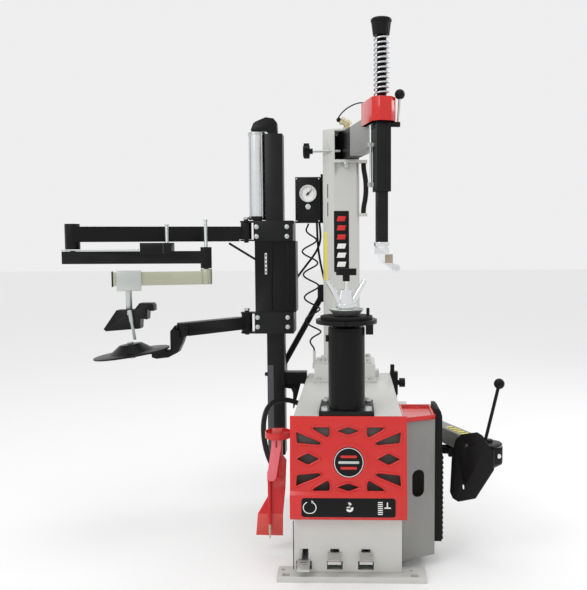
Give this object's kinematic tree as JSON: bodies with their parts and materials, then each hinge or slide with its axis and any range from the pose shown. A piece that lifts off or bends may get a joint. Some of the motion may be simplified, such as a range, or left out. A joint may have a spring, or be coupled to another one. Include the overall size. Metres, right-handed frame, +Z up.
{
  "type": "tire changer machine",
  "caption": "Swing-arm tyre changer: pedal cabinet, turntable on a post, tower with sprung mount head, side bead breaker and a two-level pneumatic assist arm.",
  "frame": {"origin": "on the floor at the centre of the four anchor holes in the two floor feet", "axes": "+Z up, +X to the operator's right, -Y toward the operator"},
  "size_m": [1.7675, 0.921, 2.028],
  "materials": {
    "light_grey": "light grey gloss powder coat",
    "red_plastic": "moulded red plastic",
    "red_paint": "red enamel",
    "black_paint": "black powder coat",
    "grey_paint": "grey powder coat",
    "zinc": "zinc plated steel",
    "chrome": "polished chrome",
    "rubber": "black ribbed rubber",
    "hose": "black air hose",
    "black_plastic": "black moulded plastic",
    "cast_iron": "cast housing",
    "spring_steel": "bright spring wire",
    "aluminium": "satin aluminium tube"
  },
  "bodies": {
    "root": {"floor_feet": "light_grey", "cabinet_shell": "light_grey", "front_cover": "red_plastic", "side_housing": "grey_paint", "tool_tray": "red_plastic", "bead_pad": "rubber", "post": "black_paint", "machine_bolts": "zinc", "gearbox": "cast_iron", "motor": "cast_iron", "drive_belt": "rubber", "riser_box": "light_grey", "tower_column": "light_grey", "gauge_box": "black_plastic", "breaker_cylinder": "aluminium", "assist_column": "black_paint", "brace_strut": "black_paint", "regulator_unit": "black_plastic", "blast_tool": "red_paint", "tower_hose": "hose", "air_hose_a": "hose", "air_hose_b": "hose", "blast_hose": "hose", "curly_hose": "hose"},
    "turntable": {"turntable_disc": "black_paint", "turntable_pad": "rubber"},
    "swing_arm": {"swing_arm": "grey_paint", "guide_sleeve": "black_paint", "head_cover": "red_plastic", "return_spring": "spring_steel"},
    "mount_shaft": {"mount_shaft": "black_paint", "shaft_cap": "black_plastic", "mount_head": "chrome"},
    "carriage": {"carriage": "black_paint", "lift_cylinder": "aluminium"},
    "press_slider": {"press_slider": "zinc", "press_foot": "black_paint"},
    "rotation_pedal": {"rotation_pedal": "zinc"},
    "clamp_pedal": {"clamp_pedal": "zinc"},
    "breaker_pedal": {"breaker_pedal": "zinc"},
    "gearbox_pulley": {"gearbox_pulley": "cast_iron"},
    "motor_pulley": {"motor_pulley": "cast_iron"},
    "center_cone": {"center_cone": "zinc"},
    "clamp_nut": {"clamp_nut": "chrome"},
    "mount_roller": {"mount_roller": "chrome"},
    "lock_lever": {"lock_lever": "black_plastic"},
    "stop_knob": {"stop_knob": "black_plastic"},
    "press_arm_1": {"press_arm_1": "black_paint"},
    "press_arm_2": {"press_arm_2": "black_paint"},
    "press_arm_3": {"press_arm_3": "zinc"},
    "roller_arm_1": {"roller_arm_1": "black_paint"},
    "roller_arm_2": {"roller_arm_2": "black_paint"},
    "lift_disc": {"lift_disc": "black_paint"},
    "breaker_arm": {"breaker_arm": "grey_paint"},
    "breaker_rod": {"breaker_rod": "black_paint"},
    "shovel": {"shovel": "black_paint"},
    "blast_lever": {"blast_lever": "red_paint"},
    "gauge_needle": {"gauge_needle": "black_plastic"},
    "inflate_button": {"inflate_button": "aluminium"},
    "regulator_knob": {"regulator_knob": "black_plastic"}
  },
  "joints": [
    {"name": "rotation_pedal_press", "type": "hinge", "parent": "root", "child": "rotation_pedal", "pos_m": [-0.1545, -0.25, 0.08], "axis": [1, 0, 0], "range_deg": [-5, 5], "stiffness_Nm_per_rad": 150, "springref_deg": -0.34},
    {"name": "clamp_pedal_press", "type": "hinge", "parent": "root", "child": "clamp_pedal", "pos_m": [-0.044, -0.25, 0.08], "axis": [1, 0, 0], "range_deg": [0, 8], "stiffness_Nm_per_rad": 60, "springref_deg": -2.86},
    {"name": "breaker_pedal_press", "type": "hinge", "parent": "root", "child": "breaker_pedal", "pos_m": [0.0675, -0.25, 0.08], "axis": [1, 0, 0], "range_deg": [0, 8], "stiffness_Nm_per_rad": 60, "springref_deg": -2.86},
    {"name": "turntable_spin", "type": "hinge", "parent": "root", "child": "turntable", "pos_m": [0, -0.32, 0.9], "axis": [0, 0, 1], "continuous": true},
    {"name": "gearbox_pulley_spin", "type": "hinge", "parent": "root", "child": "gearbox_pulley", "pos_m": [0.06, -0.225, 0.48], "axis": [0, 1, 0], "continuous": true},
    {"name": "motor_pulley_spin", "type": "hinge", "parent": "root", "child": "motor_pulley", "pos_m": [0.06, -0.225, 0.25], "axis": [0, 1, 0], "continuous": true},
    {"name": "cone_lift", "type": "slide", "parent": "turntable", "child": "center_cone", "axis": [0, 0, 1], "range_m": [0, 0.12]},
    {"name": "nut_spin", "type": "hinge", "parent": "center_cone", "child": "clamp_nut", "pos_m": [0, -0.32, 0.97], "axis": [0, 0, 1], "continuous": true},
    {"name": "arm_swing", "type": "hinge", "parent": "root", "child": "swing_arm", "pos_m": [-0.004, 0.29, 1.62], "axis": [0, 0, 1], "range_deg": [0, 70]},
    {"name": "shaft_slide", "type": "slide", "parent": "swing_arm", "child": "mount_shaft", "axis": [0, 0, 1], "range_m": [-0.15, 0], "stiffness_N_per_m": 700, "springref_m": 0.25, "deforming": ["return_spring"]},
    {"name": "roller_spin", "type": "hinge", "parent": "mount_shaft", "child": "mount_roller", "pos_m": [0.187, -0.205, 1.105], "axis": [0, 1, 0], "continuous": true},
    {"name": "lever_tilt", "type": "hinge", "parent": "swing_arm", "child": "lock_lever", "pos_m": [0.193, -0.2, 1.637], "axis": [0, 1, 0], "range_deg": [0, 40]},
    {"name": "stop_knob_turn", "type": "hinge", "parent": "root", "child": "stop_knob", "pos_m": [-0.15, 0.25, 1.603], "axis": [1, 0, 0], "continuous": true},
    {"name": "carriage_lift", "type": "slide", "parent": "root", "child": "carriage", "axis": [0, 0, 1], "range_m": [-0.14, 0]},
    {"name": "press_arm_1_swing", "type": "hinge", "parent": "carriage", "child": "press_arm_1", "pos_m": [-0.448, 0.25, 1.25], "axis": [0, 0, 1], "range_deg": [-60, 80]},
    {"name": "press_arm_2_fold", "type": "hinge", "parent": "press_arm_1", "child": "press_arm_2", "pos_m": [-1.167, 0.1, 1.145], "axis": [0, 0, 1], "range_deg": [-180, 0]},
    {"name": "press_arm_3_swing", "type": "hinge", "parent": "press_arm_2", "child": "press_arm_3", "pos_m": [-0.597, 0.1, 1.06], "axis": [0, 0, 1], "range_deg": [-90, 0]},
    {"name": "slider_travel", "type": "slide", "parent": "press_arm_3", "child": "press_slider", "axis": [0.9592, 0.2827, 0], "range_m": [0, 0.08]},
    {"name": "roller_arm_1_swing", "type": "hinge", "parent": "carriage", "child": "roller_arm_1", "pos_m": [-0.45, 0.25, 0.85], "axis": [0, 0, 1], "range_deg": [0, 50]},
    {"name": "roller_arm_2_swing", "type": "hinge", "parent": "roller_arm_1", "child": "roller_arm_2", "pos_m": [-0.675, -0.005, 0.835], "axis": [0, 0, 1], "range_deg": [0, 30]},
    {"name": "disc_spin", "type": "hinge", "parent": "roller_arm_2", "child": "lift_disc", "pos_m": [-0.879, -0.042, 0.762], "axis": [-0.1392, 0, 0.9903], "continuous": true},
    {"name": "breaker_swing", "type": "hinge", "parent": "root", "child": "breaker_arm", "pos_m": [0.235, 0.25, 0.44], "axis": [0, 0, 1], "range_deg": [-1.5, 20]},
    {"name": "breaker_stroke", "type": "slide", "parent": "root", "child": "breaker_rod", "axis": [1, 0, 0], "range_m": [-0.016, 0.206]},
    {"name": "shovel_tilt", "type": "hinge", "parent": "breaker_arm", "child": "shovel", "pos_m": [0.5157, -0.3362, 0.44], "axis": [0, 0, 1], "range_deg": [-10, 0]},
    {"name": "blast_trigger", "type": "hinge", "parent": "root", "child": "blast_lever", "pos_m": [-0.2645, -0.272, 0.48], "axis": [1, 0, 0], "range_deg": [0, 2], "stiffness_Nm_per_rad": 5, "springref_deg": -1.72},
    {"name": "needle_turn", "type": "hinge", "parent": "root", "child": "gauge_needle", "pos_m": [-0.174, 0.271, 1.421], "axis": [0, 1, 0], "range_deg": [-180, 90], "stiffness_Nm_per_rad": 0.02},
    {"name": "inflate_press", "type": "slide", "parent": "root", "child": "inflate_button", "axis": [0, 1, 0], "range_m": [0, 0.004], "stiffness_N_per_m": 500, "springref_m": -0.002},
    {"name": "regulator_turn", "type": "hinge", "parent": "root", "child": "regulator_knob", "pos_m": [0.25, 0.405, 0.548], "axis": [1, 0, 0], "continuous": true}
  ],
  "couplings": [
    {"joint": "motor_pulley_spin", "follows": "gearbox_pulley_spin", "ratio": 3},
    {"joint": "breaker_stroke", "follows": "breaker_swing", "m_per_rad": 0.587}
  ]
}
